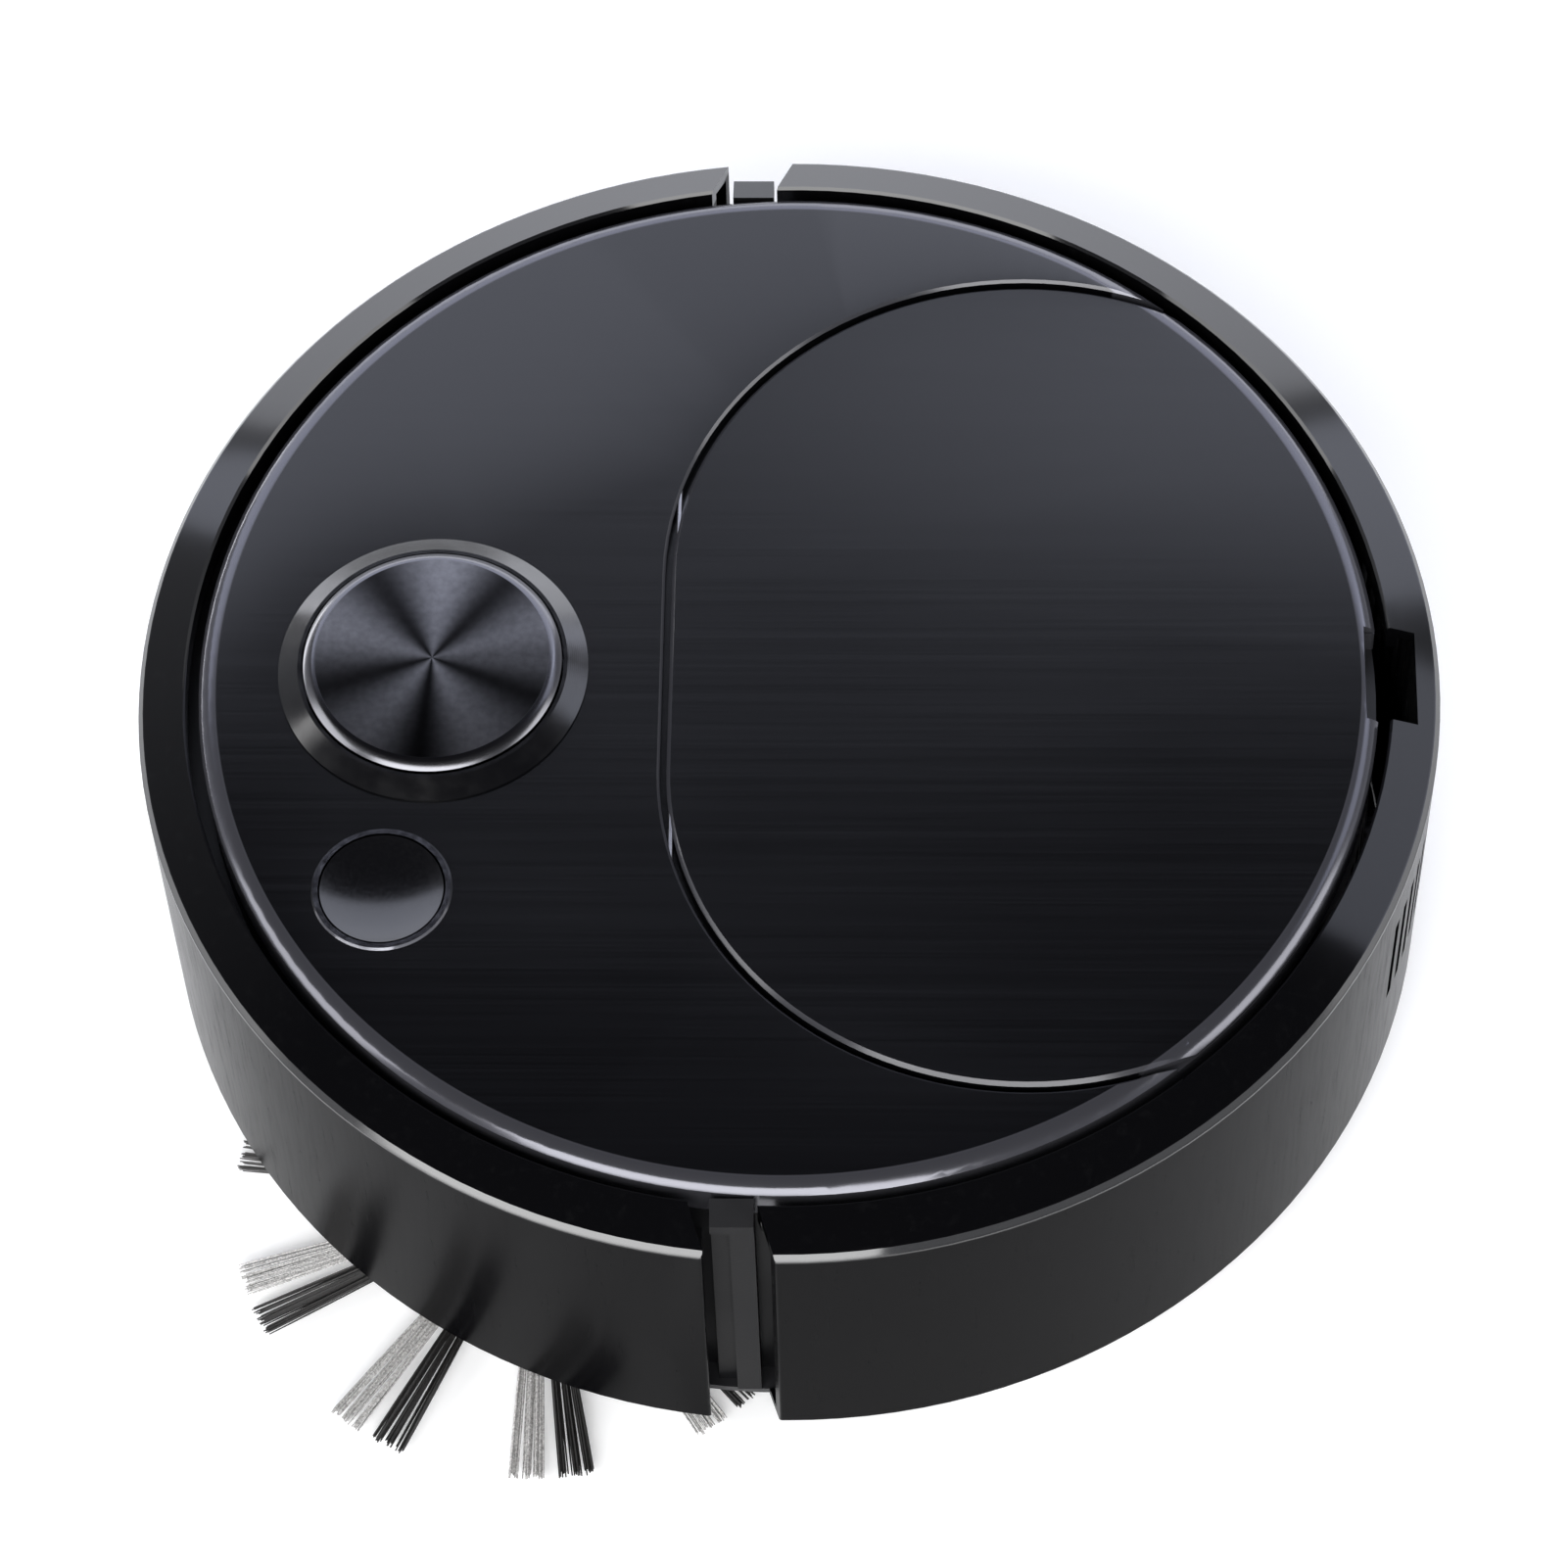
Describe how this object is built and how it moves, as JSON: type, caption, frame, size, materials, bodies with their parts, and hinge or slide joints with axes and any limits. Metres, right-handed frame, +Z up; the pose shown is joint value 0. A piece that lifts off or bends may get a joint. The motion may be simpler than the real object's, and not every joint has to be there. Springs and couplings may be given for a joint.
{
  "type": "robot vacuum",
  "caption": "Round black robot vacuum with side brushes, a hinged dust-bin lid, a large start button and a sprung front bumper.",
  "frame": {"origin": "floor level, under the centre of the round body", "axes": "+Z up, +X the way it drives (bumper and side brushes), +Y its left-hand side"},
  "size_m": [0.24, 0.2572, 0.082],
  "materials": {
    "base_plastic": "fine moulded texture",
    "inner_plastic": "moulded",
    "shell_gloss": "polished black",
    "cover_gloss": "fine hairline brushing under a satin coat",
    "bezel_gloss": "polished",
    "spun_metal": "spun, dark anodised",
    "bright_ring": "smoked chrome",
    "button_gloss": "satin dish",
    "spring_steel": "drawn wire",
    "steel": "machined",
    "electronics": "moulded",
    "board_green": "solder mask",
    "jack_metal": "plated",
    "cell_wrap": "shrink wrap",
    "dark_lens": "infrared window",
    "bin_smoke": "smoked",
    "bin_plastic": "moulded",
    "filter_paper": "pleated",
    "rubber": "matt",
    "motor_can": "drawn can",
    "caster_plastic": "moulded",
    "hub_plastic": "moulded",
    "gear_plastic": "moulded nylon",
    "tyre": "moulded tread",
    "bristle_grey": "nylon filament",
    "bristle_black": "nylon filament"
  },
  "bodies": {
    "chassis": {"base_tray": "base_plastic", "mid_housing": "inner_plastic", "rear_shell": "shell_gloss", "bumper_switches": "electronics", "top_cover": "cover_gloss", "lid_hinge_pins": "steel", "start_bezel": "bezel_gloss", "start_spring": "spring_steel", "mode_bezel": "bright_ring", "mode_spring": "spring_steel", "control_board": "board_green", "board_components": "electronics", "charge_jack": "jack_metal", "battery_cells": "cell_wrap", "battery_door": "base_plastic", "base_screws": "steel", "cliff_windows": "dark_lens", "dust_bin": "bin_smoke", "bin_cover": "bin_plastic", "filter_frame": "bin_plastic", "filter_pad": "filter_paper", "suction_nozzle": "inner_plastic", "squeegee": "rubber", "fan_housing": "inner_plastic", "fan_motor": "motor_can", "bumper_springs": "spring_steel", "wheel_spring_left": "spring_steel", "wheel_spring_right": "spring_steel", "brush_motor_left": "motor_can", "brush_motor_right": "motor_can"},
    "bumper": {"bumper_shell": "shell_gloss"},
    "lid": {"dust_lid": "cover_gloss"},
    "start_button": {"start_cap": "spun_metal"},
    "mode_button": {"mode_cap": "button_gloss"},
    "fan": {"fan_impeller": "bin_plastic"},
    "caster_swivel": {"caster_fork": "inner_plastic", "caster_axle": "steel"},
    "caster_roller": {"caster_wheel": "caster_plastic"},
    "suspension_left": {"drive_arm_left": "inner_plastic", "drive_motor_left": "motor_can"},
    "drive_wheel_left": {"wheel_hub_left": "hub_plastic", "wheel_tyre_left": "tyre", "wheel_axle_left": "steel"},
    "side_brush_left": {"brush_gear_left": "gear_plastic", "brush_hub_left": "hub_plastic", "brush_screw_left": "steel", "bristles_grey_left": "bristle_grey", "bristles_black_left": "bristle_black"},
    "pinion_left": {"brush_pinion_left": "gear_plastic"},
    "suspension_right": {"drive_arm_right": "inner_plastic", "drive_motor_right": "motor_can"},
    "drive_wheel_right": {"wheel_hub_right": "hub_plastic", "wheel_tyre_right": "tyre", "wheel_axle_right": "steel"},
    "side_brush_right": {"brush_gear_right": "gear_plastic", "brush_hub_right": "hub_plastic", "brush_screw_right": "steel", "bristles_grey_right": "bristle_grey", "bristles_black_right": "bristle_black"},
    "pinion_right": {"brush_pinion_right": "gear_plastic"}
  },
  "joints": [
    {"name": "bumper_push", "type": "slide", "parent": "chassis", "child": "bumper", "axis": [-1, 0, 0], "range_m": [0, 0.002], "stiffness_N_per_m": 300, "springref_m": -0.004, "deforming": ["bumper_springs"]},
    {"name": "lid_open", "type": "hinge", "parent": "chassis", "child": "lid", "pos_m": [0.0208, 0, 0.07695], "axis": [0, 1, 0], "range_deg": [0, 95]},
    {"name": "start_press", "type": "slide", "parent": "chassis", "child": "start_button", "axis": [0, 0, -1], "range_m": [0, 0.0012], "stiffness_N_per_m": 500, "springref_m": -0.002, "deforming": ["start_spring"]},
    {"name": "mode_press", "type": "slide", "parent": "chassis", "child": "mode_button", "axis": [0, 0, -1], "range_m": [0, 0.0012], "stiffness_N_per_m": 400, "springref_m": -0.002, "deforming": ["mode_spring"]},
    {"name": "fan_spin", "type": "hinge", "parent": "chassis", "child": "fan", "pos_m": [-0.0848, 0, 0.033], "axis": [1, 0, 0], "continuous": true},
    {"name": "caster_turn", "type": "hinge", "parent": "chassis", "child": "caster_swivel", "pos_m": [0.09, 0, 0.028], "axis": [0, 0, 1], "continuous": true},
    {"name": "caster_roll", "type": "hinge", "parent": "caster_swivel", "child": "caster_roller", "pos_m": [0.086, 0, 0.008], "axis": [0, 1, 0], "continuous": true},
    {"name": "suspension_drop_left", "type": "hinge", "parent": "chassis", "child": "suspension_left", "pos_m": [-0.067, 0.067, 0.024], "axis": [0, 1, 0], "range_deg": [0, 12], "stiffness_Nm_per_rad": 0.2, "springref_deg": 28.65, "deforming": ["wheel_spring_left"]},
    {"name": "wheel_roll_left", "type": "hinge", "parent": "suspension_left", "child": "drive_wheel_left", "pos_m": [-0.033, 0.0805, 0.024], "axis": [0, 1, 0], "continuous": true},
    {"name": "brush_spin_left", "type": "hinge", "parent": "chassis", "child": "side_brush_left", "pos_m": [0.047, 0.07, 0.01], "axis": [0, 0, 1], "continuous": true},
    {"name": "pinion_spin_left", "type": "hinge", "parent": "chassis", "child": "pinion_left", "pos_m": [0.03576, 0.05752, 0.015], "axis": [0, 0, 1], "continuous": true},
    {"name": "suspension_drop_right", "type": "hinge", "parent": "chassis", "child": "suspension_right", "pos_m": [-0.067, -0.067, 0.024], "axis": [0, 1, 0], "range_deg": [0, 12], "stiffness_Nm_per_rad": 0.2, "springref_deg": 28.65, "deforming": ["wheel_spring_right"]},
    {"name": "wheel_roll_right", "type": "hinge", "parent": "suspension_right", "child": "drive_wheel_right", "pos_m": [-0.033, -0.0805, 0.024], "axis": [0, 1, 0], "continuous": true},
    {"name": "brush_spin_right", "type": "hinge", "parent": "chassis", "child": "side_brush_right", "pos_m": [0.047, -0.07, 0.01], "axis": [0, 0, 1], "continuous": true},
    {"name": "pinion_spin_right", "type": "hinge", "parent": "chassis", "child": "pinion_right", "pos_m": [0.03576, -0.05752, 0.015], "axis": [0, 0, 1], "continuous": true}
  ],
  "couplings": [
    {"joint": "pinion_spin_left", "follows": "brush_spin_left", "ratio": -2.5},
    {"joint": "pinion_spin_right", "follows": "brush_spin_right", "ratio": -2.5}
  ]
}
